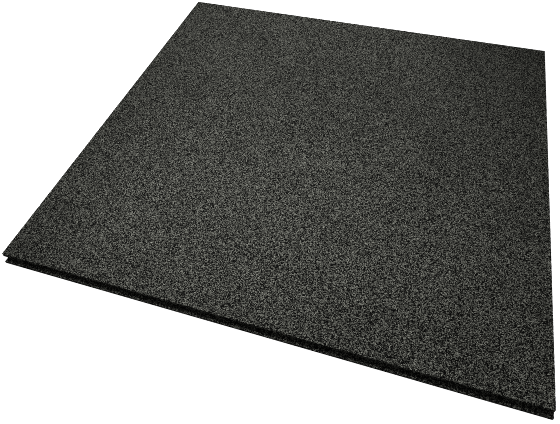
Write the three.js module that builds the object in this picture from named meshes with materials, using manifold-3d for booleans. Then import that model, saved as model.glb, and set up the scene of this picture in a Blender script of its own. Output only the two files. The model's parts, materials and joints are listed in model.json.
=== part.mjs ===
// Square rubber floor tile with a stepped lap joint, pressed in one piece from rubber crumb.
//
// Units are millimetres. X runs along the front edge to the right, Y to the back and Z up.
// The tile lies flat with its underside at Z 0. The origin is at the centre of the whole
// footprint, lip included.
//
// The wearing face is a square. Along the left edge it overhangs a rebate, and along the front
// edge a thin lip stands out below it. The right and back edges are plain. Four tiles lie round
// one point, each turned a quarter more than the last. The lip of each slides under the
// overhang of the next, so the wearing faces butt together and hide the joint.

import * as THREE from 'three';
import { mergeVertices } from 'three/addons/utils/BufferGeometryUtils.js';
import Module from 'manifold-3d';

const wasm = await Module();
wasm.setup();

// Driving dimensions
const moduleSide = 1000; // side of the wearing face, and the pitch of tiles that are laid
const tileThickness = 12;
const lapWidth = 10; // how far the lip stands out past the wearing face
const lipThickness = 3.5;
const lapClearance = 0.5; // play of the lip under a neighbour's overhang, in height and depth
const cornerRadius = 2; // upright corners, seen from above
const faceArris = 1; // rounding along the edge of the wearing face
const lipArris = 0.6; // rounding along the upper edge of the lip

// How finely the roundings are divided
const cornerSteps = 4;
const arrisSteps = 3;

// A neighbour's lip fits into the rebate with the clearance above it and at its end
const overhangWidth = lapWidth + lapClearance;
const overhangUnderside = lipThickness + lapClearance;

// The footprint is the wearing face with the lip added at the front
const halfWidth = moduleSide / 2;
const halfDepth = (moduleSide + lapWidth) / 2;
const wearingFace = {
  left: -halfWidth,
  right: halfWidth,
  front: -halfDepth + lapWidth,
  back: halfDepth,
};
const footing = {
  left: wearingFace.left + overhangWidth,
  right: wearingFace.right,
  front: -halfDepth,
  back: wearingFace.back,
};
const core = { ...footing, front: wearingFace.front };

// Rectangle with round corners, as an outline to extrude
function roundedOutline({ left, right, front, back }, radius) {
  const quarter = Math.PI / 2;
  const centres = [
    [right - radius, front + radius, -quarter],
    [right - radius, back - radius, 0],
    [left + radius, back - radius, quarter],
    [left + radius, front + radius, 2 * quarter],
  ];
  const outline = new THREE.Shape();
  for (const [x, y, start] of centres) {
    outline.absarc(x, y, radius, start, start + quarter, false);
  }
  return outline;
}

// Closed three.js geometry to a solid that can be joined and cut
function toSolid(geometry) {
  const bare = geometry.clone();
  bare.deleteAttribute('normal');
  bare.deleteAttribute('uv');
  const welded = mergeVertices(bare.index ? bare.toNonIndexed() : bare);
  return new wasm.Manifold(new wasm.Mesh({
    numProp: 3,
    vertProperties: new Float32Array(welded.attributes.position.array),
    triVerts: new Uint32Array(welded.index.array),
  }));
}

// Solid back to a geometry for the scene
function toGeometry(solid) {
  const { vertProperties, triVerts } = solid.getMesh();
  const geometry = new THREE.BufferGeometry();
  geometry.setAttribute('position', new THREE.BufferAttribute(vertProperties, 3));
  geometry.setIndex(new THREE.BufferAttribute(triVerts, 1));
  geometry.computeVertexNormals();
  return geometry;
}

// Slab between two heights with its upper edge rounded. A bevelled extrusion is rounded at both
// ends, so it starts one rounding lower and its foot is cut off level.
function roundedSlab(area, bottom, top, arris) {
  const extrusion = new THREE.ExtrudeGeometry(roundedOutline(area, cornerRadius), {
    depth: top - bottom - arris,
    curveSegments: cornerSteps,
    bevelEnabled: true,
    bevelThickness: arris,
    bevelSize: arris,
    bevelOffset: -arris,
    bevelSegments: arrisSteps,
  });
  extrusion.translate(0, 0, bottom);
  const reach = 4 * halfDepth;
  const below = new THREE.BoxGeometry(reach, reach, reach);
  below.translate(0, 0, bottom - reach / 2);
  return toSolid(extrusion).subtract(toSolid(below));
}

// Slab between two heights with sharp edges above and below
function plainSlab(area, bottom, top) {
  const extrusion = new THREE.ExtrudeGeometry(roundedOutline(area, cornerRadius), {
    depth: top - bottom,
    curveSegments: cornerSteps,
    bevelEnabled: false,
  });
  extrusion.translate(0, 0, bottom);
  return toSolid(extrusion);
}

// One pressed piece: the footing carries the lip, the upper slab carries the overhang, and the
// core fills the height between them
function makeTile() {
  const base = roundedSlab(footing, 0, lipThickness, lipArris);
  const middle = plainSlab(core, 0, tileThickness - faceArris);
  const upper = roundedSlab(wearingFace, overhangUnderside, tileThickness, faceArris);
  const crumbRubber = new THREE.MeshStandardMaterial({
    color: 0x464641,
    roughness: 0.92,
    metalness: 0,
  });
  const tile = new THREE.Mesh(toGeometry(base.add(middle).add(upper)), crumbRubber);
  tile.name = 'tile';
  return tile;
}

const floorTile = new THREE.Group();
floorTile.add(makeTile());

export default floorTile;
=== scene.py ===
# %% [markdown]
# # A rubber floor tile
#
# The real tile is one slab of rubber crumb, pressed hard in a mould with a little binder. Its
# wearing face is a square of one metre. The left edge overhangs a rebate, a thin lip stands out
# under the front edge, and the other two edges are plain. Laid with a quarter turn between
# neighbours, the lip of one tile slides under the overhang of the next.
#
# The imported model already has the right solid, but its faces are perfectly flat. This lesson
# builds the same faces again as one skin of small triangles, presses the relief of the crumb
# into it, and then gives it a finish. The solid stays underneath for the physics.

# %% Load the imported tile
import json
import math

import bpy
import numpy as np
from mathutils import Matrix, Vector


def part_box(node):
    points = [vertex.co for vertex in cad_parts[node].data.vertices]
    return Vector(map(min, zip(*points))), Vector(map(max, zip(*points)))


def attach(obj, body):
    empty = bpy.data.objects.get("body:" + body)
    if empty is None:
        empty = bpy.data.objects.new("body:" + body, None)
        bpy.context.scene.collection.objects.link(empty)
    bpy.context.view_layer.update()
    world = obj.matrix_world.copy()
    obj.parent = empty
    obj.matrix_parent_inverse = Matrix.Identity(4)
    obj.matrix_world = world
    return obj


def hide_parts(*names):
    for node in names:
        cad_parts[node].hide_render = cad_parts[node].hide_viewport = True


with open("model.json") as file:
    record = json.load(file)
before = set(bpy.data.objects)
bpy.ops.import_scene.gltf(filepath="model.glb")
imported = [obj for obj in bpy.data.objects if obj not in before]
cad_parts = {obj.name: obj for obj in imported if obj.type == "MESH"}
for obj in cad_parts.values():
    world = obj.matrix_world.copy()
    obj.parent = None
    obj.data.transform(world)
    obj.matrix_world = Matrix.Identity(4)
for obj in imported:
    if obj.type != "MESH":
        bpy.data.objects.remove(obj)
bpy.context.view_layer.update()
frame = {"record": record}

# %% [markdown]
# ## The sizes
#
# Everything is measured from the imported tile, so the skin cannot drift away from it. The box
# gives the outer edges. Three mounts in the record lie on faces inside that box: the front of
# the wearing slab, the top of the lip and the underside of the overhang. The play is the room
# that a lip has under its neighbour's overhang, and the rebate is deeper by as much.

# %% Read the sizes
X, Y, Z = 0, 1, 2
MM = 0.001

mounts = {mount["name"]: mount["pos_m"] for mount in frame["record"]["mounts"]}
tile_low, tile_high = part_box("tile")

face_left, face_right, face_back = tile_low[X], tile_high[X], tile_high[Y]
face_front = mounts["front_butt_face"][Y]
face_top = tile_high[Z]

lip_top = mounts["front_lip_top"][Z]
overhang_under = mounts["left_overhang_underside"][Z]
play = overhang_under - lip_top

foot_front = tile_low[Y]
lap = face_front - foot_front
foot_left = face_left + lap + play
print("wearing face", round((face_right - face_left) / MM), "mm square, lap", round(lap / MM, 1),
      "mm, lip", round(lip_top / MM, 1), "mm thick, play", round(play / MM, 1), "mm")

# %% [markdown]
# ## Grid lines
#
# A grid on a flat face needs lines close enough together to carry the crumb, which is 2 to 3 mm
# across. A line every 1.7 mm is as fine as a mesh of sensible size allows on a square metre, and
# the bump in the finish adds what is finer. Next to an edge that will be rounded the lines come
# closer, so that the rounding has its own rows of faces.

# %% Grid lines of the tile
GRID_STEP = 1.72 * MM
EDGE_LINES = (0.0, 0.35 * MM, 1.0 * MM)


def lines(start, end, close_at_start=False, close_at_end=False):
    """Places from start to end in even steps, with EDGE_LINES at an end whose edge is rounded."""
    head = start + np.array(EDGE_LINES[:-1]) if close_at_start else np.array([])
    tail = end - np.array(EDGE_LINES[:-1])[::-1] if close_at_end else np.array([])
    first = start + EDGE_LINES[-1] * close_at_start
    last = end - EDGE_LINES[-1] * close_at_end
    count = max(1, math.ceil((last - first) / GRID_STEP))
    return np.concatenate([head, np.linspace(first, last, count + 1), tail])


def joined(*stretches):
    """Neighbouring stretches of lines as one, each shared end kept once."""
    return np.concatenate([stretches[0]] + [stretch[1:] for stretch in stretches[1:]])


x_overhang = lines(face_left, foot_left, close_at_start=True)
x_foot = lines(foot_left, face_right, close_at_end=True)
y_lip = lines(foot_front, face_front, close_at_start=True)
y_face = lines(face_front, face_back, close_at_start=True, close_at_end=True)
z_lip = lines(0.0, lip_top, close_at_end=True)
z_play = np.array([lip_top, overhang_under])
z_upper = lines(overhang_under, face_top, close_at_end=True)

x_face = joined(x_overhang, x_foot)
y_foot = joined(y_lip, y_face)
z_low = joined(z_lip, z_play)
z_full = joined(z_low, z_upper)
print("wearing face has", len(x_face), "by", len(y_face), "lines")

# %% [markdown]
# ## Flat patches
#
# Every face of the tile is a rectangle, so it can be worked out as a grid with two parameters.
# The lines of neighbouring faces are the same, which means that their shared edges have the same
# points and can be welded afterwards. The diagonal of each small square is thrown at random.
# Crumb has no direction, and diagonals that all run one way would show as a weave.

# %% Make a patch
DICE_SEED = 7
dice = np.random.default_rng(DICE_SEED)


def patch(across, at, first, second, outward):
    """Grid on the plane where the axis called across has the value at. The first lines run along
    the next axis and the second lines along the one after it, so the faces look towards +across,
    or towards -across where outward is -1."""
    along, up = (across + 1) % 3, (across + 2) % 3
    points = np.empty((len(first), len(second), 3))
    points[..., across] = at
    points[..., along] = first[:, None]
    points[..., up] = second[None, :]
    number = np.arange(points.size // 3).reshape(len(first), len(second))
    a, b = number[:-1, :-1].ravel(), number[1:, :-1].ravel()
    c, d = number[1:, 1:].ravel(), number[:-1, 1:].ravel()
    rising = dice.random(len(a)) < 0.5
    lower = np.where(rising[:, None], np.stack([a, b, c], 1), np.stack([a, b, d], 1))
    upper = np.where(rising[:, None], np.stack([a, c, d], 1), np.stack([b, c, d], 1))
    triangles = np.concatenate([lower, upper])
    return points.reshape(-1, 3), triangles if outward > 0 else triangles[:, ::-1]


# %% The faces of the tile
wearing_patch = patch(Z, face_top, x_face, y_face, 1)
edge_patches = [
    patch(Y, face_front, z_upper, x_face, -1),
    patch(Y, face_front, z_play, x_foot, -1),
    patch(X, face_left, y_face, z_upper, -1),
    patch(Z, overhang_under, x_overhang, y_face, -1),
    patch(X, foot_left, y_face, z_low, -1),
    patch(X, foot_left, y_lip, z_lip, -1),
    patch(Z, lip_top, x_foot, y_lip, 1),
    patch(Y, foot_front, z_lip, x_foot, -1),
    patch(X, face_right, y_lip, z_lip, 1),
    patch(X, face_right, y_face, z_full, 1),
    patch(Y, face_back, z_low, x_foot, 1),
    patch(Y, face_back, z_upper, x_face, 1),
]
print("wearing face", len(wearing_patch[1]), "triangles, edges",
      sum(len(triangles) for _, triangles in edge_patches))

# %% [markdown]
# ## The underside
#
# The underside lies on the floor and is seen only when the tile is lifted, so a coarse grid is
# enough. Its rim still has to meet the fine points of the side walls. A ring of triangles makes
# the step: each fine point on the rim looks to the nearest corner of the coarse grid.

# %% Make the underside
COARSE = 8


def underside():
    """Coarse grid at height 0 on every COARSE-th line, inside a ring that fans out to all the
    lines on the rim. The ring pairs each rim point with the nearest point of the coarse border."""
    i_coarse = np.arange(COARSE, len(x_foot) - COARSE, COARSE)
    j_coarse = np.arange(COARSE, len(y_foot) - COARSE, COARSE)
    points, triangles = patch(Z, 0.0, x_foot[i_coarse], y_foot[j_coarse], -1)
    i_last, j_last = len(x_foot) - 1, len(y_foot) - 1
    i_rim = np.concatenate([np.arange(i_last), np.full(j_last, i_last),
                            np.arange(i_last, 0, -1), np.zeros(j_last, int)])
    j_rim = np.concatenate([np.zeros(i_last, int), np.arange(j_last),
                            np.full(i_last, j_last), np.arange(j_last, 0, -1)])
    rim_points = np.stack([x_foot[i_rim], y_foot[j_rim], np.zeros(len(i_rim))], 1)
    near_i = np.abs(i_rim[:, None] - i_coarse[None, :]).argmin(1)
    near_j = np.abs(j_rim[:, None] - j_coarse[None, :]).argmin(1)
    inner = near_i * len(j_coarse) + near_j
    outer = len(points) + np.arange(len(i_rim))
    next_outer, next_inner = np.roll(outer, -1), np.roll(inner, -1)
    fans = np.stack([inner, next_outer, outer], 1)
    steps = np.stack([inner, next_inner, next_outer], 1)[inner != next_inner]
    return np.concatenate([points, rim_points]), np.concatenate([triangles, fans, steps])


under_patch = underside()
print("underside", len(under_patch[1]), "triangles")

# %% [markdown]
# ## Weld the patches into one skin
#
# All points go into one list, and points at the same place become one point. Doing this before
# any relief is pressed in keeps the skin closed: a point that two faces share moves once, so no
# crack can open between them. Each triangle remembers which group of faces it came from.

# %% Weld
WEARING, EDGES, UNDER = 0, 1, 2
WELD_STEP = 0.001 * MM


def weld(groups):
    """One list of points and triangles from the groups of patches. Points are told apart by their
    place in whole steps of WELD_STEP, packed into one number each."""
    points, triangles, group_of = [], [], []
    count = 0
    for group, patches in enumerate(groups):
        for patch_points, patch_triangles in patches:
            points.append(patch_points)
            triangles.append(patch_triangles + count)
            group_of.append(np.full(len(patch_triangles), group))
            count += len(patch_points)
    points, triangles = np.concatenate(points), np.concatenate(triangles)
    place = np.round((points - points.min(0)) / WELD_STEP).astype(np.int64)
    _, depth, height = place.max(0) + 1
    key = (place[:, X] * depth + place[:, Y]) * height + place[:, Z]
    _, first, where = np.unique(key, return_index=True, return_inverse=True)
    return points[first], where[triangles], np.concatenate(group_of)


points, triangles, group_of = weld([[wearing_patch], edge_patches, [under_patch]])
print("skin has", len(points), "points and", len(triangles), "triangles")


# %% Is it closed?
def open_edges(triangles):
    """Number of edges without a partner. In a closed skin each edge is used once in each
    direction, so the sorted list of edges and that of turned edges are the same."""
    edges = np.concatenate([triangles[:, [0, 1]], triangles[:, [1, 2]], triangles[:, [2, 0]]])
    scale = triangles.max() + 1
    forward = np.sort(edges[:, 0] * scale + edges[:, 1])
    turned = np.sort(edges[:, 1] * scale + edges[:, 0])
    return len(np.setxor1d(forward, turned)) + len(forward) - len(np.unique(forward))


print("open edges in the skin:", open_edges(triangles))

# %% [markdown]
# ## Round the edges
#
# A mould has no knife edges, and crumb soon breaks away from a sharp corner. The upright corners
# and the rim of the wearing face are rounded by moving points, not by adding any. Near an edge
# two distances are measured from the centre of the rounding. Their larger one says which square
# ring a point lies on, and the point moves to the circle of that size.

# %% Round the corners and rims
CORNER_RADIUS = 2.0 * MM
FACE_ARRIS = 1.0 * MM
LIP_ARRIS = 0.6 * MM
NEAR = 0.01 * MM

face_area = (np.array([face_left, face_front]), np.array([face_right, face_back]))
foot_area = (np.array([foot_left, foot_front]), np.array([face_right, face_back]))


def square_to_round(across, up):
    """Factor that takes a point from a square ring to the circle of the same size: the larger of
    its two distances from the centre, divided by its straight distance."""
    straight = np.hypot(across, up)
    return np.maximum(across, up) / np.where(straight > 0, straight, 1.0)


def round_corners(points, area, chosen):
    """Moves the chosen points near the four upright corners of the area onto quarter circles."""
    low, high = area
    for side_x, side_y in ((-1, -1), (1, -1), (1, 1), (-1, 1)):
        side = np.array([side_x, side_y])
        corner = np.where(side > 0, high, low)
        centre = corner - side * CORNER_RADIUS
        reach = (points[:, :2] - centre) * side
        near = chosen & (reach > 0).all(1) & (reach < CORNER_RADIUS + NEAR).all(1)
        factor = square_to_round(reach[near, 0], reach[near, 1])
        points[near, :2] = centre + side * reach[near] * factor[:, None]


def inside_outline(points, area):
    """How far each point is inside the area's rounded outline, and the level direction that
    leads straight out of it."""
    low, high = area
    offset = points[:, :2] - (low + high) / 2
    beyond = np.abs(offset) - ((high - low) / 2 - CORNER_RADIUS)
    round_part = np.maximum(beyond, 0.0)
    length = np.hypot(round_part[:, 0], round_part[:, 1])
    inside = CORNER_RADIUS - length - np.minimum(beyond.max(1), 0.0)
    nearest_side = np.eye(2)[beyond.argmax(1)]
    outwards = round_part / np.where(length > 0, length, 1.0)[:, None]
    out = np.where(length[:, None] > 0, outwards, nearest_side)
    return inside, out * np.sign(offset)


def round_rim(points, area, top, radius, chosen):
    """Rounds the edge between the side and the top of the area with the given radius."""
    inside, out = inside_outline(points, area)
    below = top - points[:, Z]
    near = chosen & (inside < radius) & (below > -NEAR) & (below < radius)
    across, up = radius - inside[near], radius - below[near]
    factor = square_to_round(across, up)
    points[near, :2] -= out[near] * (across * (1 - factor))[:, None]
    points[near, Z] = top - radius + up * factor


in_upper_slab = points[:, Z] > overhang_under - NEAR
on_lip = points[:, Y] < face_front - NEAR
round_corners(points, face_area, in_upper_slab)
round_corners(points, foot_area, ~in_upper_slab)
round_rim(points, face_area, face_top, FACE_ARRIS, ~on_lip)
round_rim(points, foot_area, lip_top, LIP_ARRIS, on_lip)
print("after rounding, from", points.min(0).round(4), "to", points.max(0).round(4))

# %% [markdown]
# ## The relief of the crumb
#
# Pressed crumb is a mosaic. Each crumb is a lump with its own height and tilt, the press levels
# most of them, and small pits stay open where three or four meet. A few crumbs have broken out.
# Cell noise makes such a mosaic: space is cut into cubes, each cube gets one random middle, and
# every point belongs to the crumb whose middle is nearest. Where the second nearest is almost
# as near, the point lies in a gap. The noise works in all three directions, so the mosaic runs
# on over the rims and down the sides.

# %% Cell noise
CRUMB = 2.9 * MM
CELL_PRIMES = np.array([73856093, 19349663, 83492791])
SALT_PRIME = 2654435761
MIX_PRIME = np.uint32(2246822519)
MIX_SHIFTS = (15, 13)
LAST_SHIFT = np.uint32(16)
WORD = 2 ** 32
MIDDLE_SALTS = (1, 2, 3)


def hashed(cells, salt):
    """A random number from 0 to 1 for each row of three whole numbers: they are multiplied by
    large primes and mixed, and the same row and salt always give the same number."""
    mixed = (cells * CELL_PRIMES).astype(np.uint32)
    mixed = mixed[:, X] ^ mixed[:, Y] ^ mixed[:, Z] ^ np.uint32(salt * SALT_PRIME % WORD)
    for shift in MIX_SHIFTS:
        mixed = (mixed ^ (mixed >> np.uint32(shift))) * MIX_PRIME
    return (mixed ^ (mixed >> LAST_SHIFT)) / float(WORD)


def cell_noise(points, size):
    """For each point, the distances to the nearest and second nearest middle in cell sizes, the
    cell of the nearest one, and the way from that middle to the point."""
    scaled = points / size
    home = np.floor(scaled).astype(np.int64)
    nearest = np.full(len(points), np.inf)
    second = nearest.copy()
    winner, way = home.copy(), np.zeros_like(points)
    for step in np.ndindex(3, 3, 3):
        cell = home + np.array(step) - 1
        middle = cell + np.stack([hashed(cell, salt) for salt in MIDDLE_SALTS], 1)
        to_point = scaled - middle
        distance = np.linalg.norm(to_point, axis=1)
        closer = distance < nearest
        second = np.where(closer, nearest, np.minimum(second, distance))
        nearest = np.where(closer, distance, nearest)
        winner[closer], way[closer] = cell[closer], to_point[closer]
    return nearest, second, winner, way


# %% Press the relief into the skin
FLUSH_DEPTH = 0.28 * MM
PIT_DEPTH = 0.42 * MM
LOST_DEPTH = 0.60 * MM
LOST_SHARE = 0.035
TILT = 0.16 * MM
GAP_WIDTH = 0.34
GAP_CURVE = 0.7
SUNK_SALT = 4
LEAN_SALTS = (5, 6, 7)
LOST_SALT = 8


def corner_normals(points, triangles):
    """Direction straight out of the skin at each point: the mean of its triangles' directions,
    with large triangles counting for more."""
    a, b, c = (points[triangles[:, k]] for k in range(3))
    facing = np.cross(b - a, c - a)
    total = np.stack([
        sum(np.bincount(triangles[:, k], facing[:, axis], len(points)) for k in range(3))
        for axis in range(3)], 1)
    return total / np.linalg.norm(total, axis=1)[:, None]


def crumb_depth(points):
    """How deep each point lies under the pressed level. A crumb sits flush or a little sunk and
    tilts about its middle, the gaps between crumbs are pits, and a lost crumb leaves a hole."""
    nearest, second, winner, way = cell_noise(points, CRUMB)
    sunk = FLUSH_DEPTH * hashed(winner, SUNK_SALT) ** 2
    lean = np.stack([hashed(winner, salt) for salt in LEAN_SALTS], 1) - 0.5
    tilt = TILT * (way * lean).sum(1) * 2
    gap = 1 - np.clip((second - nearest) / GAP_WIDTH, 0, 1) ** GAP_CURVE
    lost = np.where(hashed(winner, LOST_SALT) < LOST_SHARE, LOST_DEPTH, 0.0)
    return np.clip(sunk + tilt + PIT_DEPTH * gap + lost, 0.0, None)


depth = crumb_depth(points)
normals = corner_normals(points, triangles)
resting = points[:, Z] < NEAR
depth[resting] = 0.0
skin = points - normals * depth[:, None]
print("relief from 0 to", round(depth.max() / MM, 2), "mm, mean", round(depth.mean() / MM, 2), "mm")

# %% [markdown]
# ## Cut the skin into pieces
#
# One mesh of three quarters of a million triangles is slow to open. The wearing face is cut into
# four quarters, and the edges and the underside are a piece each. They have the same points along
# their borders, so there is no gap between them. The depth of the relief goes with each point as
# an attribute, because little light reaches into a pit, and the finish needs to know where it is.

# %% Make the pieces
def make_piece(name, chosen):
    """A mesh object from the chosen triangles, with only the points that they use."""
    used, corners = np.unique(triangles[chosen], return_inverse=True)
    corners = corners.reshape(-1)
    mesh = bpy.data.meshes.new(name)
    mesh.vertices.add(len(used))
    mesh.vertices.foreach_set("co", skin[used].astype(np.float32).ravel())
    mesh.loops.add(len(corners))
    mesh.loops.foreach_set("vertex_index", corners.astype(np.int32))
    mesh.polygons.add(len(corners) // 3)
    mesh.polygons.foreach_set("loop_start", np.arange(0, len(corners), 3, dtype=np.int32))
    pit = mesh.attributes.new("pit", "FLOAT", "POINT")
    pit.data.foreach_set("value", np.clip(depth[used] / PIT_DEPTH, 0, 1).astype(np.float32))
    mesh.update(calc_edges=True)
    piece = bpy.data.objects.new(name, mesh)
    bpy.context.scene.collection.objects.link(piece)
    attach(piece, "root")
    print(name, len(used), "points,", len(corners) // 3, "triangles")
    return piece


middle_x, middle_y = (face_left + face_right) / 2, (face_front + face_back) / 2
centroid = points[triangles].mean(1)
at_right, at_back = centroid[:, X] > middle_x, centroid[:, Y] > middle_y
wearing = group_of == WEARING
quarters = {
    "wearing_face_front_left": ~at_right & ~at_back,
    "wearing_face_front_right": at_right & ~at_back,
    "wearing_face_back_left": ~at_right & at_back,
    "wearing_face_back_right": at_right & at_back,
}
pieces = [make_piece(name, wearing & quarter) for name, quarter in quarters.items()]
pieces.append(make_piece("rims_and_lip", group_of == EDGES))
pieces.append(make_piece("underside", group_of == UNDER))
for piece in pieces:
    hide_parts("tile")

# %% [markdown]
# ## The crumb as a shader
#
# The mesh is too coarse for the smallest crumbs, so the finish draws them. The same kind of cell
# noise gives each of them a tone, from soot black to the grey of scuffed tyre rubber, and a
# height for the bump. The group takes a point's place and the crumb size, so the wearing face and
# the edges can use the one recipe with their own values.

# %% Helpers for node trees
def new_group(name, inputs, outputs):
    """Empty shader node group with named inputs and outputs, and its two end nodes."""
    tree = bpy.data.node_groups.new(name, "ShaderNodeTree")
    for label, kind in inputs:
        tree.interface.new_socket(label, in_out="INPUT", socket_type=kind)
    for label, kind in outputs:
        tree.interface.new_socket(label, in_out="OUTPUT", socket_type=kind)
    return tree, tree.nodes.new("NodeGroupInput"), tree.nodes.new("NodeGroupOutput")


def add(tree, kind, values=None, **settings):
    """New node with its settings, and its input sockets set to plain values or linked to the
    output sockets that are given."""
    node = tree.nodes.new(kind)
    for name, setting in settings.items():
        setattr(node, name, setting)
    for socket, value in (values or {}).items():
        if isinstance(value, bpy.types.NodeSocket):
            tree.links.new(value, node.inputs[socket])
        else:
            node.inputs[socket].default_value = value
    return node


def maths(tree, operation, first, second):
    """Result of one sum on two values."""
    return add(tree, "ShaderNodeMath", {0: first, 1: second}, operation=operation).outputs[0]


def stretched(tree, value, low, high, to_low=0.0, to_high=1.0):
    """The value with the range low to high stretched onto another range, and clamped there."""
    return add(tree, "ShaderNodeMapRange",
               {"Value": value, 1: low, 2: high, 3: to_low, 4: to_high}).outputs["Result"]


# %% Group: crumb mosaic
FLOAT, VECTOR = "NodeSocketFloat", "NodeSocketVector"
GAP_REACH = 0.2


def make_crumb_mosaic():
    """Cells of the size Crumb. Tone and Level are one random number each for a whole cell, and
    Gap is 1 on the border between two cells and falls to 0 within GAP_REACH of a cell."""
    tree, start, end = new_group(
        "crumb_mosaic", [("Place", VECTOR), ("Crumb", FLOAT)],
        [("Tone", FLOAT), ("Level", FLOAT), ("Gap", FLOAT)])
    cells_per_metre = maths(tree, "DIVIDE", 1.0, start.outputs["Crumb"])
    cells = add(tree, "ShaderNodeTexVoronoi",
                {"Vector": start.outputs["Place"], "Scale": cells_per_metre})
    borders = add(tree, "ShaderNodeTexVoronoi",
                  {"Vector": start.outputs["Place"], "Scale": cells_per_metre},
                  feature="DISTANCE_TO_EDGE")
    parts = add(tree, "ShaderNodeSeparateColor", {"Color": cells.outputs["Color"]})
    tree.links.new(parts.outputs["Red"], end.inputs["Tone"])
    tree.links.new(parts.outputs["Green"], end.inputs["Level"])
    tree.links.new(stretched(tree, borders.outputs["Distance"], 0.0, GAP_REACH, 1.0, 0.0),
                   end.inputs["Gap"])
    return tree


crumb_mosaic = make_crumb_mosaic()
print("made", crumb_mosaic.name)

# %% [markdown]
# ## Patches of wear and dust
#
# The mould does not fill evenly, and feet polish some parts of a floor more than others. Soft
# noise at two sizes, a hand and a finger, makes patches that are a little lighter or darker. A
# third, finer noise stands for the torn skin of each crumb.

# %% Group: patches
SPOTS_PER_METRE = {"Broad": 8.0, "Small": 65.0, "Torn": 1900.0}
NOISE_DETAIL = 2.0
NOISE_LOW, NOISE_HIGH = 0.3, 0.7


def make_patches():
    """Broad is soft noise with blotches of about 120 mm, Small has spots of about 15 mm, and Torn
    has grain of about half a millimetre. Each lies between 0 and 1 with its middle at 0.5."""
    tree, start, end = new_group(
        "wear_patches", [("Place", VECTOR)], [("Broad", FLOAT), ("Small", FLOAT), ("Torn", FLOAT)])
    for label, scale in SPOTS_PER_METRE.items():
        noise = add(tree, "ShaderNodeTexNoise",
                    {"Vector": start.outputs["Place"], "Scale": scale, "Detail": NOISE_DETAIL})
        tree.links.new(stretched(tree, noise.outputs["Fac"], NOISE_LOW, NOISE_HIGH),
                       end.inputs[label])
    return tree


wear_patches = make_patches()
print("made", wear_patches.name)

# %% [markdown]
# ## The rubber
#
# Each crumb has its own grey. Light adds up before the eye sees it, so among random greys the
# light crumbs would drown the dark ones. The random tone is raised to a power before it becomes a
# colour, which makes most crumbs dark and only some light. Gaps between crumbs and the pits of
# the mesh are darker, which is painted shade where little light reaches. The light crumbs lean a
# little to yellow, as rubber does when it ages.
#
# The sheen is set far lower than on solid rubber, because pressed crumb looks almost fully matt,
# and the roughness changes from crumb to crumb. None of these values was measured on rubber. They
# were found by trial, by holding renders against a picture of the real tile.

# %% Material: crumb rubber
DARKEST = (0.002, 0.002, 0.002, 1)
LIGHTEST = (0.49, 0.50, 0.435, 1)
TONE_CURVE = 3.8
ROUGHNESS = 0.8
ROUGHNESS_SPREAD = 0.14
SHEEN_LEVEL = 0.05
WORN = (0.90, 1.10)
SPOTTED = (0.96, 1.04)
# Painted shade: how much of its lightness the colour keeps in a gap between crumbs, and from the
# flush face down to the bottom of a pit.
GAP_SHADE = 0.25
PIT_SHADE = (1.04, 0.68)
TORN_SHARE = 0.25


def crumb_rubber(name, crumb, bump, light_share=1.0):
    """Crumb rubber with cells of the size crumb and a bump of the given height. Its greys run
    from DARKEST up to light_share of the way to LIGHTEST. A share below 1 makes a darker copy
    of the same rubber, as painted shade."""
    material = bpy.data.materials.new(name)
    material.use_nodes = True
    tree = material.node_tree
    shader = tree.nodes["Principled BSDF"]
    place = add(tree, "ShaderNodeTexCoord").outputs["Object"]
    mosaic = add(tree, "ShaderNodeGroup", node_tree=crumb_mosaic)
    mosaic.inputs["Crumb"].default_value = crumb
    tree.links.new(place, mosaic.inputs["Place"])
    patches = add(tree, "ShaderNodeGroup", node_tree=wear_patches)
    tree.links.new(place, patches.inputs["Place"])
    pit = add(tree, "ShaderNodeAttribute", attribute_name="pit").outputs["Fac"]

    apart = add(tree, "ShaderNodeMapRange", {"Value": mosaic.outputs["Tone"]},
                interpolation_type="SMOOTHSTEP").outputs["Result"]
    tone = maths(tree, "POWER", apart, TONE_CURVE)
    worn = stretched(tree, patches.outputs["Broad"], 0.0, 1.0, *WORN)
    spots = stretched(tree, patches.outputs["Small"], 0.0, 1.0, *SPOTTED)
    # Painted shade in the gaps between crumbs and in the pits of the mesh, on top of the random
    # wear patches.
    gap_shade = stretched(tree, mosaic.outputs["Gap"], 0.0, 1.0,
                         light_share, GAP_SHADE * light_share)
    pit_shade = stretched(tree, pit, 0.0, 1.0, *PIT_SHADE)
    light = maths(tree, "MULTIPLY", maths(tree, "MULTIPLY", worn, spots),
                  maths(tree, "MULTIPLY", gap_shade, pit_shade))
    grey = maths(tree, "MULTIPLY", tone, light)
    colour = add(tree, "ShaderNodeMix", {0: grey, 6: DARKEST, 7: LIGHTEST}, data_type="RGBA")
    tree.links.new(colour.outputs[2], shader.inputs["Base Color"])

    gloss = stretched(tree, mosaic.outputs["Level"], 0.0, 1.0,
                      ROUGHNESS - ROUGHNESS_SPREAD, ROUGHNESS + ROUGHNESS_SPREAD)
    tree.links.new(gloss, shader.inputs["Roughness"])
    shader.inputs["Specular IOR Level"].default_value = SHEEN_LEVEL

    lump = maths(tree, "SUBTRACT", mosaic.outputs["Level"], mosaic.outputs["Gap"])
    grain = maths(tree, "MULTIPLY", patches.outputs["Torn"], TORN_SHARE)
    height = maths(tree, "ADD", lump, grain)
    relief = add(tree, "ShaderNodeBump", {"Height": height, "Distance": bump, "Strength": 1.0})
    tree.links.new(relief.outputs["Normal"], shader.inputs["Normal"])
    return material


# %% Finishes of the wearing face and the edges
WEARING_CRUMB = 1.3 * MM
EDGE_CRUMB = 1.4 * MM
BUMP = 0.16 * MM
# Painted shade: the rims, sides and lip get the same rubber at this share of its lightness, darker
# because they stand in shade.
EDGE_SHADE_SHARE = 0.42

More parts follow.
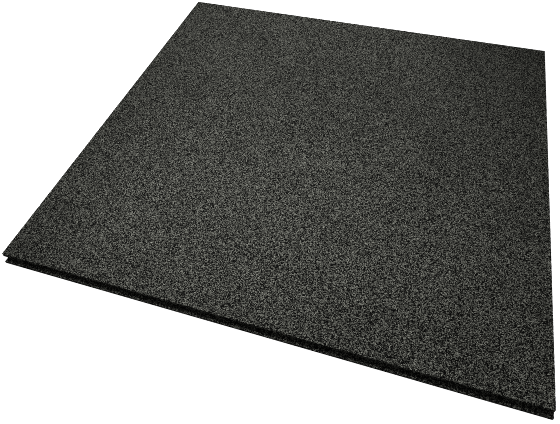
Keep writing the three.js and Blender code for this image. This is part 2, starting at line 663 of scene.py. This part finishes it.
wearing_finish = crumb_rubber("wearing_face_rubber", WEARING_CRUMB, BUMP)
shaded_edge_finish = crumb_rubber("edge_rubber", EDGE_CRUMB, BUMP, light_share=EDGE_SHADE_SHARE)
for piece in pieces:
    on_top = piece.name.startswith("wearing_face")
    piece.data.materials.append(wearing_finish if on_top else shaded_edge_finish)
print("materials on", len(pieces), "pieces")

# %% [markdown]
# ## Floor
#
# The tile lies on a white floor, which throws light back onto its upright sides. For the camera
# alone the floor also glows, so that it is plain white right out to the horizon, like the white
# room around it. The floor lies a hair below the tile, so that no two faces share a plane.

# %% Make the floor
FLOOR_SIDE = 60.0
FLOOR_DROP = 0.1 * MM
FLOOR_WHITE = (0.8, 0.8, 0.8, 1)
GLOW_WHITE = (1, 1, 1, 1)

floor_mesh = bpy.data.meshes.new("floor")
half, level = FLOOR_SIDE / 2, -FLOOR_DROP
floor_corners = [(-half, -half, level), (half, -half, level),
                 (half, half, level), (-half, half, level)]
floor_mesh.from_pydata(floor_corners, [], [(0, 1, 2, 3)])
floor = bpy.data.objects.new("floor", floor_mesh)
bpy.context.scene.collection.objects.link(floor)

floor_finish = bpy.data.materials.new("white_floor")
floor_finish.use_nodes = True
floor_shader = floor_finish.node_tree.nodes["Principled BSDF"]
floor_shader.inputs["Base Color"].default_value = FLOOR_WHITE
floor_shader.inputs["Roughness"].default_value = 1.0
floor_shader.inputs["Specular IOR Level"].default_value = 0.0
floor_shader.inputs["Emission Color"].default_value = GLOW_WHITE
floor_seen = add(floor_finish.node_tree, "ShaderNodeLightPath").outputs["Is Camera Ray"]
floor_finish.node_tree.links.new(floor_seen, floor_shader.inputs["Emission Strength"])
floor_mesh.materials.append(floor_finish)

# %% [markdown]
# ## Light
#
# A wide softbox hangs over the tile and gives it an even light from above, which reaches the
# upright sides only at a slant. Two round lamps stand behind the tile at the left. The near one
# lights the front more, and the far one lights the back. Both are about four fifths as far behind
# the front edge as they are high, so the wearing face casts the same short shadow onto the lip.
# Their places and strengths were fitted to how bright the real wearing face is from one part to
# the next, so they belong to that one picture and not to any room.

# %% Room
world = bpy.data.worlds.new("white_room")
bpy.context.scene.world = world
world.use_nodes = True
room = world.node_tree
room.nodes.clear()
white = add(room, "ShaderNodeBackground", {"Color": (1, 1, 1, 1), "Strength": 1.0})
black = add(room, "ShaderNodeBackground", {"Color": (0, 0, 0, 1), "Strength": 0.0})
by_camera = add(room, "ShaderNodeLightPath").outputs["Is Camera Ray"]
choice = add(room, "ShaderNodeMixShader",
             {0: by_camera, 1: black.outputs[0], 2: white.outputs[0]})
add(room, "ShaderNodeOutputWorld", {"Surface": choice.outputs[0]})


# %% Lamps
LAMP_RADIUS = 0.15
LAMP_FADE = 1.0
SOFTBOX_SIDE = 8.0
SOFTBOX_WATTS = 60.0


def hang(name, data, place, target):
    """Lamp object at a place, turned so that it shines at the target."""
    lamp = bpy.data.objects.new(name, data)
    aim = np.array(target) - np.array(place)
    lamp.location = place
    lamp.rotation_euler = (math.atan2(math.hypot(aim[X], aim[Y]), -aim[Z]), 0,
                           math.atan2(-aim[X], aim[Y]))
    lamp.visible_camera = False
    bpy.context.scene.collection.objects.link(lamp)
    print(name, "turned by", [round(math.degrees(angle)) for angle in lamp.rotation_euler])


def hang_spot(name, place, target, cone, watts):
    """Round lamp as wide as a dinner plate, whose light fades out towards the edge of its cone."""
    data = bpy.data.lights.new(name, "SPOT")
    data.spot_size = math.radians(cone)
    data.spot_blend = LAMP_FADE
    data.shadow_soft_size = LAMP_RADIUS
    data.energy = watts
    hang(name, data, place, target)


softbox_light = bpy.data.lights.new("softbox", "AREA")
softbox_light.size = SOFTBOX_SIDE
softbox_light.energy = SOFTBOX_WATTS
hang("softbox", softbox_light, place=(0.0, 0.0, 3.0), target=(0.0, 0.0, 0.0))
hang_spot("near_lamp", place=(-0.90, 0.448, 1.15), target=(0.20, -0.80, 0.0),
          cone=53.8, watts=72.0)
hang_spot("far_lamp", place=(-0.75, 1.473, 2.4), target=(-0.08, 0.15, 0.0),
          cone=31.2, watts=215.0)

# %% [markdown]
# ## The camera
#
# The camera stands in front of the tile, a little to the right, and looks down at it as someone
# does who is about to lift it. It was found by matching the tile's corners and edges. The shift
# is there because the picture was cropped closely around the tile.

# %% Camera
CAMERA_LENS = 33.889
CAMERA_SENSOR = 36.0
CAMERA_SHIFT = 0.0392
CAMERA_PLACE = (0.1833, -0.8994, 0.8290)
CAMERA_TURN = (40.224, 1.712, 18.249)

camera_data = bpy.data.cameras.new("camera")
camera_data.lens = CAMERA_LENS
camera_data.sensor_width = CAMERA_SENSOR
camera_data.shift_x = CAMERA_SHIFT
camera = bpy.data.objects.new("camera", camera_data)
camera.location = CAMERA_PLACE
camera.rotation_euler = [math.radians(angle) for angle in CAMERA_TURN]
bpy.context.scene.collection.objects.link(camera)
bpy.context.scene.camera = camera

# %% [markdown]
# ## Colours and grain as seen
#
# The standard view shows white as white and keeps the dark greys of the rubber apart. A crumb is
# hardly larger than a pixel here. A denoiser would take it for noise and a wide pixel filter
# would blur it into its neighbours, so the first is off and the second is one pixel wide.

# %% View and size
PIXEL_FILTER = 1.0

scene = bpy.context.scene
scene.view_settings.view_transform = "Standard"
scene.cycles.use_denoising = False
scene.cycles.filter_width = PIXEL_FILTER
